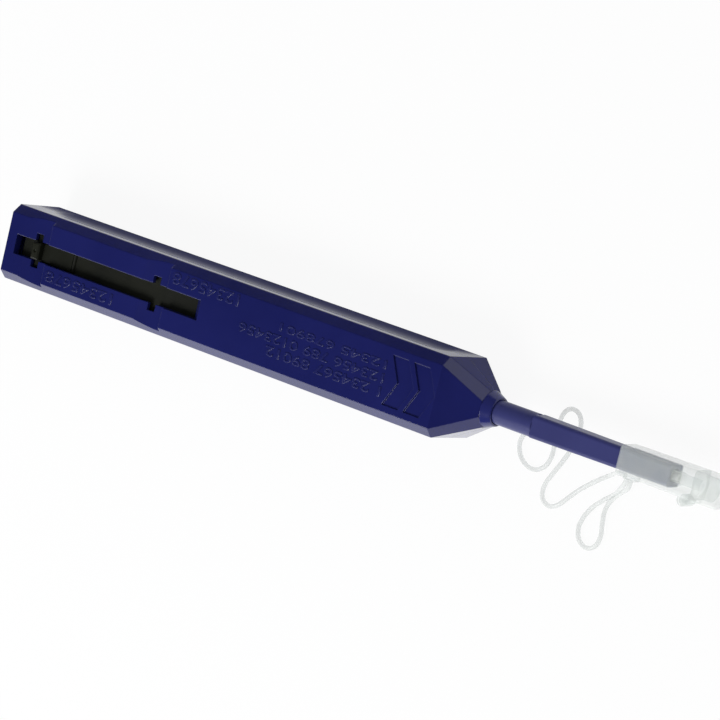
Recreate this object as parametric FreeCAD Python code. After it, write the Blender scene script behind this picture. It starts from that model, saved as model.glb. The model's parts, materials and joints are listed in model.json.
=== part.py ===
import FreeCAD, Part
import math
import os

# Fibre connector cleaning pen: an eight-sided barrel in two moulded halves, a sliding carriage with two strand
# reels, a nozzle that is pushed in to wind the strand on, and a clear guide cap with a flip lid. Millimetres, +Z up.
# The pen lies on its back. Stations along it (x) are measured from the rear end, y across, z up from the back face,
# and put_at_origin() then moves each finished piece so that the origin is at the middle of the base.

V = FreeCAD.Vector

# Barrel
body_width = 19.0
body_depth = 18.4
prism_length = 137.3
edge_chamfer_y = 2.1
edge_chamfer_z = 2.2
nose_length = 9.3
nose_tip_width = 8.6
nose_tip_chamfer = 2.45
side_wall = 1.6
back_wall = 1.5
face_wall = 2.0
end_wall = 1.6
corner_wall_chamfer = 1.2
nose_wall = 1.7
outer_edge_radius = 0.3

# How far a cut runs past a face, and how far a joined block runs into its neighbour
past = 1.0
overlap = 0.1

# Slot, notches, thumb scoops and arrow recesses in the face
slot_start = 3.0
slot_front_margin = 14.05
slot_ramp_length = 2.4
slot_width = 4.9
notch_start = 8.95
notch_length = 2.2
notch_width = 8.5
scoop_lead = 3.15
scoop_trail = 2.9
scoop_depth = 0.9
wing_channel_width = 8.9
wing_channel_depth = 0.5
arrow_setback = 6.3
arrow_pitch = 6.2
arrow_arm = 4.6
arrow_slope = 2.95
arrow_half_height = 5.8
arrow_depth = 0.35

# Flutes along the two sides
flute_start = 7.0
flute_end_margin = 4.3
flute_height = 10.0
flute_depth = 0.55

# Rails and snap tabs in the back half
rail_width = 1.0
rail_height = 0.5
rail_spread = 8.0
tab_shares = (0.175, 0.437, 0.7, 0.918)
tab_length = 8.0
tab_thickness = 0.75
tab_reach = 2.8
tab_root = 2.4
tab_gap = 0.1
tab_overlap = 0.2
catch_height = 0.35
catch_length = 0.8
catch_gap = 0.12

# Nose ring
ring_length = 2.4
ring_rear_radius = 4.42
ring_front_radius = 3.35
ring_edge_chamfer = 0.15
spigot_radius = 3.5
spigot_length = 1.0
fit_gap = 0.03

# Nozzle
barrel_radius = 2.85
barrel_exposed = 10.7
square_length = 37.1
square_rear_width = 5.35
square_front_width = 4.85
square_corner = 0.9
sleeve_bore_radius = 1.7
barrel_gap = 0.1
lug_length = 3.0
lug_width = 1.8
lug_drop = 1.45
lug_offset = 0.8
lug_edge_radius = 0.4
lug_inset = 0.4
push_travel = 7.0
barrel_seat = 0.5

# Carriage
carriage_start = 4.0
carriage_front_room = 2.3
carriage_side_gap = 0.15
carriage_lift = 0.1
carriage_top_gap = 0.2
frame_floor = 1.0
frame_side = 0.85
frame_end = 1.0
frame_front = 1.2
cover_thickness = 1.2
cover_inset = 0.15
bulkhead_thickness = 1.2
bulkhead_gap = 8.5
rack_window_gap = 0.45

# Latch arm with its button
latch_setback = 0.45
latch_length = 12.9
latch_pivot_radius = 0.8
latch_width = 4.4
latch_thickness = 1.0
latch_drop = 0.1
wing_length = 1.8
wing_thickness = 1.4
ridge_length = 2.5
ridge_rise = 0.2
ridge_chamfer = 0.35
ridge_inset = 0.1
dimple_radius = 0.45
dimple_depth = 0.4
latch_gap = 0.25
well_rear_gap = 0.55

# Reels and gear
supply_setback = 27.0
reel_spacing = 17.0
axle_radius = 1.0
axle_gap = 0.06
hub_radius = 2.2
flange_side_gap = 0.45
flange_rim = 0.7
line_gap = 0.4
takeup_winding_radius = 3.0
flange_thickness = 0.7
winding_gap = 0.05
washer_thickness = 0.3
washer_radius = 3.4
stack_gap = 0.1
gear_module = 0.5
gear_height = 2.2
gear_backlash = 0.14
gear_addendum = 0.44
gear_dedendum = 0.62
gear_flank_inside = 0.1
gear_flank_outside = 0.2
pressure_angle = 20.0
rack_spare_teeth = 4
rack_teeth_behind = 1.5
rack_back = 0.7
ratchet_teeth = 16
ratchet_inset = 0.2
ratchet_tooth_depth = 0.7
ratchet_height = 1.0
ratchet_steep_share = 0.12
pawl_gap = 0.12
pawl_angle = 38.0
pawl_root = 1.4
pawl_nib = 0.2
pawl_thickness = 0.7

# Slider, springs, shaft and tip
slider_length = 10.0
slider_front_room = 10.0
slider_roof = 1.4
slider_back_wall = 2.5
pocket_low_rim = 1.0
pocket_high_rim = 0.5
slider_gap = 0.12
coil_sides = 6
coil_steps = 10
return_spring_length = 17.3
return_spring_radius = 2.15
return_spring_wire = 0.5
return_spring_turns = 6
strand_radius = 0.15
strand_sides = 6
strand_offset = 1.05
strand_turn_depth = 6.5
strand_bend_depth = 1.5
strand_hole = 0.9
strand_bend = 0.3
strand_tip_gap = 0.1
shaft_radius = 0.82
shaft_setback = 1.5
tip_rod_length = 19.3
guide_disc_length = 1.6
guide_disc_gap = 0.06
guide_disc_flat = 0.86
tip_spring_length = 8.0
tip_spring_radius = 0.68
tip_spring_wire = 0.24
tip_spring_turns = 7
tip_reach = 1.3
tip_edge_chamfer = 0.25

# Guide cap and lid
cap_overlap = 12.9
cap_nose_length = 6.6
cap_rear_width = 6.6
cap_front_width = 6.9
cap_corner = 0.8
cap_socket_gap = 0.15
ferrule_bore_radius = 1.28
ferrule_relief_radius = 1.55
ferrule_relief_length = 1.9
boss_radius = 2.4
boss_length = 0.8
lid_length = 6.8
lid_gap = 0.1
lid_draft = 0.1
lid_edge_radius = 0.5
lid_root_length = 0.7
lid_root_depth = 0.4
lid_arm_tip = 0.35
lid_cavity_radius = 2.75
lid_cavity_depth = 3.6
hinge_setback = 2.4
hinge_offset = 4.1
knuckle_radius = 1.3
hinge_pin_radius = 0.5
knuckle_height = 1.8
ear_height = 0.9
hinge_gap = 0.12
cap_lug_length = 3.2
cap_lug_height = 2.2
cap_lug_reach = 1.2
cap_lug_inset = 0.6

# Clear tether line: both routes are chosen by hand, with x measured forward from the nozzle's step for the tether
# and from the cap's rear for its loose end
cord_diameter = 1.1
cord_rest = 0.62
cord_sides = 8
tether_route = [
    (0.8, 0.0, 5.72),
    (-0.5, 0.0, 5.72),
    (-2.0, -0.2, 4.7),
    (-3.6, -0.6, 3.1),
    (-5.2, -1.3, 1.7),
    (-7.0, -2.4, 0.85),
    (-8.6, -4.2, cord_rest),
    (-9.3, -6.6, cord_rest),
    (-8.3, -9.3, cord_rest),
    (-6.0, -11.1, cord_rest),
    (-3.2, -11.4, cord_rest),
    (-0.6, -9.6, cord_rest),
    (0.3, -6.2, cord_rest),
    (-0.2, -2.6, cord_rest),
    (-0.1, 0.7, cord_rest),
    (0.2, 3.2, cord_rest),
    (1.7, 4.8, cord_rest),
    (3.9, 4.7, cord_rest),
    (5.4, 3.0, cord_rest),
    (5.7, 0.4, cord_rest),
    (5.1, -2.8, cord_rest),
    (3.7, -6.2, cord_rest),
    (2.1, -9.4, cord_rest),
    (0.5, -12.4, cord_rest),
    (-0.2, -14.9, cord_rest),
    (0.5, -17.2, cord_rest),
    (2.7, -18.1, cord_rest),
    (4.9, -17.0, cord_rest),
    (6.9, -14.6, cord_rest),
    (9.4, -11.8, cord_rest),
    (12.6, -9.0, cord_rest),
    (15.8, -6.8, 1.3),
    (18.4, -5.4, 3.0),
    (20.5, -4.4, 5.3),
    (22.5, -3.9, 7.4),
    (square_length - cap_overlap, -3.9, 7.4),
]
tail_route = [
    (0.7, -4.5, 7.4),
    (0.7, -5.9, 7.4),
    (-0.3, -7.4, 5.8),
    (-1.9, -8.7, 3.8),
    (-3.8, -10.2, 2.2),
    (-6.2, -12.0, 1.8),
    (-8.6, -14.0, 0.95),
    (-10.6, -16.7, cord_rest),
    (-11.6, -19.8, cord_rest),
    (-10.8, -22.6, cord_rest),
    (-8.5, -24.0, cord_rest),
    (-6.0, -23.0, cord_rest),
    (-5.1, -20.4, cord_rest),
    (-5.7, -17.4, cord_rest),
    (-6.0, -14.4, cord_rest),
    (-5.0, -11.7, 0.8),
    (-2.6, -9.6, 2.1),
    (-0.4, -8.2, 4.1),
    (1.5, -7.2, 6.0),
    (2.1, -6.0, 7.4),
    (2.1, -4.5, 7.4),
]

# Places worked out from the sizes above
axis_z = body_depth / 2
nose_front = prism_length + nose_length
ring_front = nose_front + ring_length
barrel_front = ring_front + barrel_exposed
sleeve_front = barrel_front + square_length
cap_rear = sleeve_front - cap_overlap
cap_front = sleeve_front + cap_nose_length
lid_front = cap_front + lid_length
hinge_station = cap_front - hinge_setback
overall_length = lid_front
ceiling_z = body_depth - face_wall
cavity_half_width = body_width / 2 - side_wall
tab_inner_y = cavity_half_width - tab_gap - tab_thickness
frame_half_width = tab_inner_y - carriage_side_gap
frame_z = back_wall + rail_height + carriage_lift
floor_z = frame_z + frame_floor
cover_top_z = ceiling_z - carriage_top_gap
cover_z = cover_top_z - cover_thickness
frame_inner_y = frame_half_width - frame_side
supply_station = carriage_start + supply_setback
takeup_station = supply_station + reel_spacing
bulkhead_start = takeup_station + bulkhead_gap
spring_seat = bulkhead_start + bulkhead_thickness
slider_start = spring_seat + return_spring_length
slider_front = slider_start + slider_length
carriage_front = slider_front + slider_front_room
extension_travel = prism_length - carriage_front - carriage_front_room
slot_end = notch_start + extension_travel + notch_length + slot_front_margin
arrow_tip = prism_length - arrow_setback
flute_end = prism_length - flute_end_margin
latch_start = notch_start - latch_setback
latch_pivot = latch_start + latch_length
strand_turn_station = slider_start + strand_turn_depth
strand_bend_station = slider_start + strand_bend_depth
barrel_hole_radius = barrel_radius + barrel_gap
gear_reach = frame_inner_y - slider_gap - rack_back - gear_dedendum
gear_teeth = int(2 * gear_reach / gear_module)
gear_pitch_radius = gear_module * gear_teeth / 2
gear_outer_radius = gear_pitch_radius + gear_addendum
gear_z = floor_z + stack_gap
ratchet_z = gear_z + gear_height + stack_gap
winding_z = ratchet_z + ratchet_height + flange_thickness
winding_height = 2 * (axis_z - winding_z)
supply_flange_radius = frame_inner_y - flange_side_gap
supply_winding_radius = supply_flange_radius - flange_rim
takeup_flange_radius = supply_winding_radius - line_gap
ratchet_radius = takeup_flange_radius - ratchet_inset
slider_z = floor_z + slider_gap
supply_line_y = supply_winding_radius + strand_radius
takeup_line_y = -(takeup_winding_radius + strand_radius)
tip_rear = sleeve_front - tip_rod_length
shaft_front = tip_rear - tip_spring_length
tip_front = sleeve_front + tip_reach
socket_end = sleeve_front + cap_socket_gap
scoop_length = scoop_lead + notch_length + scoop_trail
scoop_radius = (scoop_length ** 2 + scoop_depth ** 2) / (2 * scoop_depth)
latch_top_z = ceiling_z + wing_channel_depth - latch_drop
latch_pivot_z = latch_top_z - latch_thickness


def block(x0, x1, y0, y1, z0, z1):
    return Part.makeBox(x1 - x0, y1 - y0, z1 - z0, V(x0, y0, z0))


def rod(radius, start, end):
    """A round bar from one point to another."""
    start, end = V(*start), V(*end)
    return Part.makeCylinder(radius, (end - start).Length, start, end - start)


def along_x(radius, x0, x1):
    return rod(radius, (x0, 0, axis_z), (x1, 0, axis_z))


def upright(radius, x, z0, z1):
    return rod(radius, (x, 0, z0), (x, 0, z1))


def plate(points, z0, z1):
    """A flat piece from its outline in the XY plane."""
    corners = [V(x, y, z0) for x, y in points]
    return Part.Face(Part.makePolygon(corners + corners[:1])).extrude(V(0, 0, z1 - z0))


def upright_plate(points, half_width):
    """A piece of even width across the pen from its outline in the XZ plane."""
    corners = [V(x, -half_width, z) for x, z in points]
    return Part.Face(Part.makePolygon(corners + corners[:1])).extrude(V(0, 2 * half_width, 0))


def octagon(x, width, z0, z1, chamfer_y, chamfer_z):
    """The outline of a chamfered rectangle across the pen."""
    y = width / 2
    corners = [
        (y, z0 + chamfer_z), (y, z1 - chamfer_z), (y - chamfer_y, z1), (chamfer_y - y, z1),
        (-y, z1 - chamfer_z), (-y, z0 + chamfer_z), (chamfer_y - y, z0), (y - chamfer_y, z0)]
    points = [V(x, a, b) for a, b in corners]
    return Part.makePolygon(points + points[:1])


def rounded_square(x, width, corner):
    """A square outline with round corners across the pen, centred on the nozzle's axis."""
    h = width / 2
    edges = []
    for turn in range(4):
        a = math.radians(90 * turn)
        flat = [(h, corner - h), (h, h - corner)]
        centre = (h - corner, h - corner)
        middle = (centre[0] + corner * math.cos(math.pi / 4), centre[1] + corner * math.sin(math.pi / 4))
        arc = [(h, h - corner), middle, (h - corner, h)]
        place = lambda p: V(x, p[0] * math.cos(a) - p[1] * math.sin(a),
                            axis_z + p[0] * math.sin(a) + p[1] * math.cos(a))
        edges.append(Part.makeLine(place(flat[0]), place(flat[1])))
        edges.append(Part.Arc(*[place(p) for p in arc]).toShape())
    return Part.Wire(edges)


def outer_barrel():
    """The eight-sided prism and its pyramid nose, as one solid."""
    rear = octagon(0, body_width, 0, body_depth, edge_chamfer_y, edge_chamfer_z)
    prism = Part.Face(rear).extrude(V(prism_length, 0, 0))
    base = octagon(prism_length, body_width, 0, body_depth, edge_chamfer_y, edge_chamfer_z)
    half = nose_tip_width / 2
    tip = octagon(nose_front, nose_tip_width, axis_z - half, axis_z + half, nose_tip_chamfer, nose_tip_chamfer)
    nose = Part.makeLoft([base, tip], True, True)
    solid = prism.fuse(nose).removeSplitter()
    long_edges = [e for e in solid.Edges if abs(e.Vertexes[0].Z - e.Vertexes[1].Z) < 0.01
                  and abs(e.Vertexes[0].Y - e.Vertexes[1].Y) < 0.01 and e.Length > prism_length - 1]
    return solid.makeFillet(outer_edge_radius, long_edges)


def cavity():
    """The space inside the barrel, down to the nozzle's guide."""
    inner_width = body_width - 2 * side_wall
    back = (inner_width, back_wall, ceiling_z, corner_wall_chamfer, corner_wall_chamfer)
    rear = octagon(end_wall, *back)
    main = Part.Face(rear).extrude(V(prism_length - end_wall, 0, 0))
    share = (nose_length - 2 * nose_wall) / nose_length
    outer_there = body_width + (nose_tip_width - body_width) * share
    small = outer_there - 2 * nose_wall
    cut_back = small * nose_tip_chamfer / nose_tip_width
    taper = Part.makeLoft([
        octagon(prism_length, *back),
        octagon(nose_front - 2 * nose_wall, small, axis_z - small / 2, axis_z + small / 2, cut_back, cut_back)],
        True, True)
    return main.fuse(taper).removeSplitter()


def flute(side):
    """A shallow round-ended hollow along one side."""
    half = flute_height / 2
    radius = (half ** 2 + flute_depth ** 2) / (2 * flute_depth)
    y = side * (body_width / 2 - flute_depth + radius)
    middle = rod(radius, (flute_start + half, y, axis_z), (flute_end - half, y, axis_z))
    ends = [Part.makeSphere(radius, V(x, y, axis_z)) for x in (flute_start + half, flute_end - half)]
    return middle.multiFuse(ends)


def scoop(notch_x):
    """A thumb scoop: it deepens forward round a notch and stops at a steep step."""
    step = notch_x + notch_length + scoop_trail
    centre_z = body_depth - scoop_depth + scoop_radius
    round_cut = rod(scoop_radius, (step, -body_width, centre_z), (step, body_width, centre_z))
    reach = block(notch_x - scoop_lead - past, step, -body_width, body_width, body_depth - scoop_depth - past,
                  body_depth + past)
    return round_cut.common(reach)


def arrow(tip_x):
    """An arrow recess that points to the nozzle."""
    rear = tip_x - arrow_slope - arrow_arm
    outline = [
        (rear, arrow_half_height), (rear + arrow_arm, arrow_half_height), (tip_x, 0),
        (rear + arrow_arm, -arrow_half_height), (rear, -arrow_half_height), (rear + arrow_slope, 0)]
    return plate(outline, body_depth - arrow_depth, body_depth + past)


def tab(station, side, gap=0.0):
    """A snap tab of the back half, or the pocket for its catch where gap is set."""
    outer = side * (cavity_half_width - tab_gap)
    inner = side * tab_inner_y
    x0, x1 = station - tab_length / 2, station + tab_length / 2
    low, high = min(outer, inner), max(outer, inner)
    top = axis_z + tab_reach
    catch = [
        (outer - side * tab_overlap, top - 2 * catch_length - gap), (outer, top - 2 * catch_length - gap),
        (outer + side * (catch_height + gap), top - catch_length), (outer, top + gap),
        (outer - side * tab_overlap, top + gap)]
    corners = [V(x0 - gap, y, z) for y, z in catch]
    hook = Part.Face(Part.makePolygon(corners + corners[:1])).extrude(V(x1 - x0 + 2 * gap, 0, 0))
    if gap:
        return hook
    leaf = block(x0, x1, low, high, axis_z - tab_root, top)
    wall = side * (cavity_half_width + side_wall / 4)
    root = block(x0, x1, min(wall, inner), max(wall, inner), axis_z - tab_root, axis_z - tab_gap)
    return leaf.multiFuse([hook, root])


def make_shells():
    """The two halves of the barrel, parted along the middle of the flutes."""
    spigot = along_x(spigot_radius, nose_front - past, nose_front + spigot_length)
    whole = outer_barrel().fuse(spigot)
    whole = whole.cut(cavity()).cut(along_x(barrel_hole_radius, prism_length, ring_front + past))
    whole = whole.cut(flute(1)).cut(flute(-1))
    front = whole.common(block(-past, ring_front + past, -body_width, body_width, axis_z, body_depth + past))
    back = whole.common(block(-past, ring_front + past, -body_width, body_width, -past, axis_z))
    half_slot = slot_width / 2
    ramp_foot = slot_end - slot_ramp_length
    cuts = [upright_plate([
        (slot_start, ceiling_z - past), (ramp_foot, ceiling_z - past), (ramp_foot, ceiling_z),
        (slot_end, body_depth), (slot_end, body_depth + past), (slot_start, body_depth + past)], half_slot)]
    channel_end = notch_start + extension_travel + notch_length + latch_gap
    channel = wing_channel_width / 2
    cuts.append(block(notch_start - latch_gap, channel_end, -channel, channel, ceiling_z - past,
                      ceiling_z + wing_channel_depth))
    for notch_x in (notch_start, notch_start + extension_travel):
        cuts.append(block(notch_x, notch_x + notch_length, -notch_width / 2, notch_width / 2, ceiling_z - past,
                          body_depth + past))
        cuts.append(scoop(notch_x))
    cuts += [arrow(arrow_tip), arrow(arrow_tip + arrow_pitch)]
    for station in [share * prism_length for share in tab_shares]:
        for side in (1, -1):
            cuts.append(tab(station, side, catch_gap))
            back = back.fuse(tab(station, side))
    for cut in cuts:
        front = front.cut(cut)
    for side in (1, -1):
        y = side * rail_spread / 2
        back = back.fuse(block(end_wall, prism_length - end_wall, y - rail_width / 2, y + rail_width / 2,
                               back_wall - overlap, back_wall + rail_height))
    return front.removeSplitter(), back.removeSplitter()


def make_nose_ring():
    """The cone-shaped collar that holds the two noses together."""
    ring = Part.makeCone(ring_rear_radius, ring_front_radius, ring_length, V(nose_front, 0, axis_z), V(1, 0, 0))
    rim = [e for e in ring.Edges if e.BoundBox.XMin > ring_front - 0.01]
    ring = ring.makeChamfer(ring_edge_chamfer, rim)
    ring = ring.cut(along_x(spigot_radius + fit_gap, nose_front - past, nose_front + spigot_length + fit_gap))
    return ring.cut(along_x(barrel_hole_radius, nose_front, ring_front + past))


def axle_hole(station, gap):
    return upright(axle_radius + gap, station, frame_z - past, cover_top_z - cover_thickness / 2)


def make_carriage_frame():
    """An open tray with a bulkhead for the spring and a front wall that guides the nozzle."""
    y, inner = frame_half_width, frame_inner_y
    tray = block(carriage_start, carriage_front, -y, y, frame_z, cover_z)
    rear_room = block(carriage_start + frame_end, bulkhead_start, -inner, inner, floor_z, cover_z + past)
    front_room = block(bulkhead_start + bulkhead_thickness, carriage_front - frame_front, -inner, inner, floor_z,
                       cover_z + past)
    tray = tray.cut(rear_room).cut(front_room)
    tray = tray.cut(along_x(barrel_hole_radius, carriage_front - 2 * frame_front, carriage_front + past))
    x0, x1 = bulkhead_start - past, bulkhead_start + bulkhead_thickness + past
    for line_y in (supply_line_y, takeup_line_y):
        side = math.copysign(1, line_y)
        far = side * inner
        near = line_y - side * rack_window_gap
        tray = tray.cut(block(x0, x1, min(near, far), max(near, far), axis_z - strand_hole, axis_z + strand_hole))
    rack_y = -(gear_pitch_radius - gear_addendum - slider_gap)
    tray = tray.cut(block(x0, x1, -inner, rack_y, floor_z, gear_z + gear_height + slider_gap))
    supply_seat = upright(hub_radius, supply_station, floor_z - overlap, winding_z - flange_thickness
                          - washer_thickness - 2 * stack_gap)
    tray = tray.fuse(supply_seat)
    for station in (supply_station, takeup_station):
        tray = tray.cut(axle_hole(station, 0.0))
    return tray.removeSplitter()


def make_carriage_cover():
    """The lid of the tray, with the well that the latch arm is pressed into."""
    y = frame_half_width - cover_inset
    cover = block(carriage_start, carriage_front, -y, y, cover_z, cover_top_z)
    wing = wing_channel_width / 2
    well_start = latch_start - well_rear_gap
    well_width = latch_width / 2 + latch_gap
    cover = cover.cut(block(well_start, notch_start + notch_length + latch_gap, -wing, wing, cover_z - past,
                            cover_top_z + past))
    cover = cover.cut(block(well_start, latch_pivot, -well_width, well_width, cover_z - past, cover_top_z + past))
    cradle = rod(latch_pivot_radius + latch_gap / 2, (latch_pivot, -well_width, latch_pivot_z),
                 (latch_pivot, well_width, latch_pivot_z))
    cover = cover.cut(cradle)
    for station in (supply_station, takeup_station):
        cover = cover.cut(axle_hole(station, 0.0))
    return cover.removeSplitter()


def make_latch_arm():
    """The button, its cross wings and ridge, and the springy arm back to its round root."""
    y = latch_width / 2
    arm = block(latch_start, latch_pivot, -y, y, latch_top_z - latch_thickness, latch_top_z)
    root = rod(latch_pivot_radius, (latch_pivot, -y, latch_pivot_z), (latch_pivot, y, latch_pivot_z))
    wing_x = notch_start + (notch_length - wing_length) / 2
    wing_y = notch_width / 2 - latch_gap
    wings = block(wing_x, wing_x + wing_length, -wing_y, wing_y, latch_top_z - wing_thickness, latch_top_z)
    ridge_top = body_depth + ridge_rise
    ridge_x = wing_x - (ridge_length - wing_length) / 2
    ridge = block(ridge_x, ridge_x + ridge_length, ridge_inset - y, y - ridge_inset, wings.BoundBox.ZMin, ridge_top)
    upper = [e for e in ridge.Edges if e.BoundBox.ZMin > ridge_top - 0.01]
    ridge = ridge.makeChamfer(ridge_chamfer, upper)
    dimple_x = ridge_x + ridge_length / 2
    dimple = Part.makeSphere(dimple_radius, V(dimple_x, 0, ridge_top + dimple_radius - dimple_depth))
    return arm.multiFuse([root, wings, ridge]).cut(dimple).removeSplitter()


def make_axle(station):
    return upright(axle_radius, station, frame_z, cover_top_z - cover_thickness / 2)


def make_supply_spool():
    z0 = winding_z - flange_thickness
    z1 = winding_z + winding_height
    spool = upright(supply_flange_radius, supply_station, z0, winding_z)
    spool = spool.multiFuse([
        upright(supply_flange_radius, supply_station, z1, z1 + flange_thickness),
        upright(hub_radius, supply_station, z0, cover_z - stack_gap)])
    return spool.cut(upright(axle_radius + axle_gap, supply_station, z0 - past, cover_z + past)).removeSplitter()


def ratchet_outline():
    """Saw teeth round the foot of the take-up reel."""
    points = []
    step = 2 * math.pi / ratchet_teeth
    for tooth in range(ratchet_teeth):
        a = tooth * step
        low = ratchet_radius - ratchet_tooth_depth
        points.append((takeup_station + ratchet_radius * math.cos(a), ratchet_radius * math.sin(a)))
        foot = a + ratchet_steep_share * step
        points.append((takeup_station + low * math.cos(foot), low * math.sin(foot)))
    return points


def make_takeup_spool():
    z1 = winding_z + winding_height
    wheel = plate(ratchet_outline(), ratchet_z, ratchet_z + ratchet_height)
    spool = wheel.multiFuse([
        upright(hub_radius, takeup_station, ratchet_z, cover_z - stack_gap),
        upright(takeup_flange_radius, takeup_station, winding_z - flange_thickness, winding_z),
        upright(takeup_flange_radius, takeup_station, z1, z1 + flange_thickness)])
    hole = upright(axle_radius + axle_gap, takeup_station, ratchet_z - past, cover_z + past)
    return spool.cut(hole).removeSplitter()


def make_winding(station, radius):
    """The wound strand, as one ring between the flanges."""
    z0, z1 = winding_z + winding_gap, winding_z + winding_height - winding_gap
    return upright(radius, station, z0, z1).cut(upright(hub_radius + winding_gap, station, z0 - past, z1 + past))


def make_drag_washer():
    z0 = winding_z - flange_thickness - washer_thickness - stack_gap
    ring = upright(washer_radius, supply_station, z0, z0 + washer_thickness)
    return ring.cut(upright(axle_radius + 2 * axle_gap, supply_station, z0 - past, z0 + past))


def gear_flank(radius):
    """Half the angle that a tooth takes up at a radius, for an involute flank."""
    base = gear_pitch_radius * math.cos(math.radians(pressure_angle))
    involute = lambda a: math.tan(a) - a
    at_pitch = math.pi / (2 * gear_teeth) - gear_backlash / (4 * gear_pitch_radius)
    here = math.acos(min(1.0, base / radius))
    return at_pitch + involute(math.radians(pressure_angle)) - involute(here)


def make_drive_gear():
    """The gear that the rack turns, under the take-up reel, with a tooth pointing at the rack."""
    root = gear_pitch_radius - gear_dedendum
    radii = [root, gear_pitch_radius - gear_flank_inside, gear_pitch_radius + gear_flank_outside, gear_outer_radius]
    points = []
    for tooth in range(gear_teeth):
        centre = -math.pi / 2 + 2 * math.pi * tooth / gear_teeth
        for side in (-1, 1):
            for radius in radii[::-side]:
                a = centre + side * gear_flank(radius)
                points.append((takeup_station + radius * math.cos(a), radius * math.sin(a)))
    gear = plate(points, gear_z, gear_z + gear_height)
    return gear.cut(upright(axle_radius + axle_gap, takeup_station, gear_z - past, gear_z + gear_height + past))


def make_ratchet_pawl():
    """A leaf on the tray's wall whose tip rides the saw teeth."""
    inner = frame_inner_y
    z0 = ratchet_z
    a = math.radians(pawl_angle)
    tip = ratchet_radius + pawl_gap
    tip_x, tip_y = takeup_station + tip * math.cos(a), tip * math.sin(a)
    x1 = bulkhead_start
    outline = [
        (x1, inner), (x1, inner - pawl_root), (tip_x + pawl_nib, tip_y - pawl_nib), (tip_x, tip_y),
        (tip_x, tip_y + 2 * pawl_nib), (x1 - pawl_root, inner)]
    return plate(outline, z0, z0 + pawl_thickness)


def rack_outline():
    """Straight-sided teeth that face the gear, and the bar behind them."""
    pitch = math.pi * gear_module
    slope = math.tan(math.radians(pressure_angle))
    half = pitch / 4 - gear_backlash / 4
    pitch_y = -gear_pitch_radius
    crest, root = pitch_y + gear_addendum, pitch_y - gear_dedendum
    first = takeup_station - rack_teeth_behind * pitch
    points = [(first - pitch / 2, root - rack_back), (first - pitch / 2, root)]
    for tooth in range(math.ceil(push_travel / pitch) + rack_spare_teeth):
        x = first + tooth * pitch
        points += [
            (x - half - gear_dedendum * slope, root), (x - half + gear_addendum * slope, crest),
            (x + half - gear_addendum * slope, crest), (x + half + gear_dedendum * slope, root)]
    return points + [(slider_start + past, root), (slider_start + past, root - rack_back)]


def make_nozzle_slider():
    """The block behind the nozzle, with the rack arm and a pocket for the strand."""
    y = frame_inner_y - slider_gap
    top = cover_z - slider_gap
    body = block(slider_start, slider_front, -y, y, slider_z, top)
    pocket = block(slider_start - past, strand_turn_station + barrel_seat, pocket_low_rim - y,
                   y - pocket_high_rim, axis_z - strand_hole, axis_z + strand_hole)
    bore = along_x(barrel_radius + fit_gap, strand_turn_station + barrel_seat, slider_front + past)
    upper = block(slider_start + slider_back_wall, slider_front + past, -y - past, y + past,
                  axis_z + barrel_radius + slider_roof, top + past)
    rack = plate(rack_outline(), gear_z, gear_z + gear_height)
    return body.cut(upper).fuse(rack).cut(pocket).cut(bore).removeSplitter()


def make_nozzle_sleeve():
    """The nozzle: a round tube that becomes a tapered square one in front of its step."""
    tube = along_x(barrel_radius, strand_turn_station + barrel_seat, barrel_front)
    square = Part.makeLoft([
        rounded_square(barrel_front, square_rear_width, square_corner),
        rounded_square(sleeve_front, square_front_width, square_corner)], True, True)
    lug_x = barrel_front + lug_offset
    under = axis_z - square_rear_width / 2
    lug = block(lug_x, lug_x + lug_length, -lug_width / 2, lug_width / 2, under - lug_drop, under + lug_inset)
    low = [e for e in lug.Edges if e.BoundBox.ZMax < under - lug_drop + 0.01 and abs(
        e.Vertexes[0].X - e.Vertexes[1].X) > 1]
    lug = lug.makeFillet(lug_edge_radius, low)
    sleeve = tube.multiFuse([square, lug])
    return sleeve.cut(along_x(sleeve_bore_radius, strand_turn_station, sleeve_front + past)).removeSplitter()


def guide_disc(x):
    """A disc that centres a rod in the sleeve, with flats that let the strand by."""
    disc = along_x(sleeve_bore_radius - guide_disc_gap, x, x + guide_disc_length)
    flats = block(x - past, x + guide_disc_length + past, -guide_disc_flat, guide_disc_flat, 0, body_depth)
    return disc.common(flats)


def make_tip_shaft():
    rear = strand_turn_station + shaft_setback
    shaft = along_x(shaft_radius, rear, shaft_front)
    discs = [guide_disc(x) for x in (rear, (rear + shaft_front) / 2, shaft_front - guide_disc_length)]
    return shaft.multiFuse(discs)


def make_cleaning_tip():
    tip = along_x(shaft_radius, tip_rear, tip_front)
    front_edge = [e for e in tip.Edges if e.BoundBox.XMin > tip_front - 0.01]
    tip = tip.makeChamfer(tip_edge_chamfer, front_edge)
    discs = [guide_disc(x) for x in (tip_rear, sleeve_front - 2 * guide_disc_length)]
    return tip.multiFuse(discs)


def corner_distance(radius, sides):
    """How far out the corners of an even polygon are that has the same area as a circle."""
    return radius * math.sqrt(2 * math.pi / (sides * math.sin(2 * math.pi / sides)))


def polygon_round(centre, across, up, radius, sides):
    """A closed even polygon round a point, in the plane of two directions at right angles."""
    reach = corner_distance(radius, sides)
    angles = [2 * math.pi * (corner + 0.5) / sides for corner in range(sides)]
    points = [centre + across * (reach * math.cos(a)) + up * (reach * math.sin(a)) for a in angles]
    return Part.makePolygon(points + points[:1])


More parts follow.
